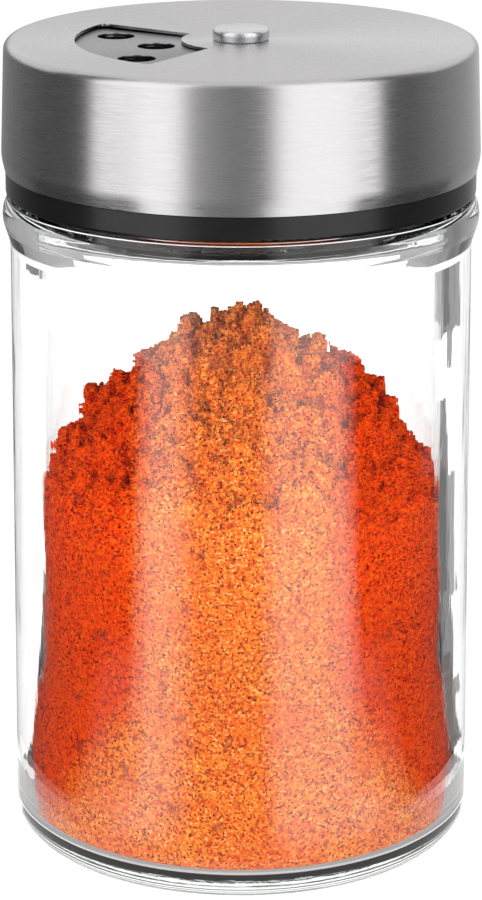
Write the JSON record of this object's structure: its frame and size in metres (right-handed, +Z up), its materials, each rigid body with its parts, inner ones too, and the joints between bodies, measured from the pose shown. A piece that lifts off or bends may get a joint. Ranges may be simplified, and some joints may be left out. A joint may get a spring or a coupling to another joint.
{
  "type": "spice jar",
  "caption": "Round clear glass spice jar holding a heap of orange spice, with a black threaded collar and a turning brushed steel dial cap that has a quarter-round shaker window.",
  "frame": {"origin": "centre of the base, on the surface that the jar stands on", "axes": "+Z up along the jar's axis; -Y is the front that the picture shows; the dial's window opens towards -X"},
  "size_m": [0.05, 0.05, 0.0875],
  "materials": {
    "clear_glass": "clear pressed soda-lime glass, fire polished",
    "ground_spice": "matt granular ground spice",
    "seal_rubber": "matt sealing ring",
    "black_plastic": "glossy moulded black plastic",
    "satin_steel": "satin stainless steel sheet",
    "brushed_steel": "brushed stainless steel, lines round the side and round the rivet on top",
    "polished_steel": "tumbled, bright stainless steel",
    "spring_steel": "plain spring steel"
  },
  "bodies": {
    "jar": {"glass_jar": "clear_glass", "spice_powder": "ground_spice"},
    "seal": {"seal_ring": "seal_rubber"},
    "collar": {"threaded_collar": "black_plastic", "shaker_disc": "satin_steel"},
    "dial": {"cap_shell": "brushed_steel", "pivot_knob": "polished_steel", "spring_washer": "spring_steel", "retaining_washer": "spring_steel"}
  },
  "joints": [
    {"name": "lid_lift", "type": "slide", "parent": "jar", "child": "seal", "axis": [0, 0, 1], "range_m": [0, 0.01202]},
    {"name": "lid_screw", "type": "hinge", "parent": "seal", "child": "collar", "pos_m": [0, 0, 0.084], "axis": [0, 0, 1], "range_deg": [0, 1080]},
    {"name": "dial_turn", "type": "hinge", "parent": "collar", "child": "dial", "pos_m": [0, 0, 0.086], "axis": [0, 0, 1], "continuous": true}
  ],
  "couplings": [
    {"joint": "lid_lift", "follows": "lid_screw", "m_per_rad": 0.00063662}
  ]
}
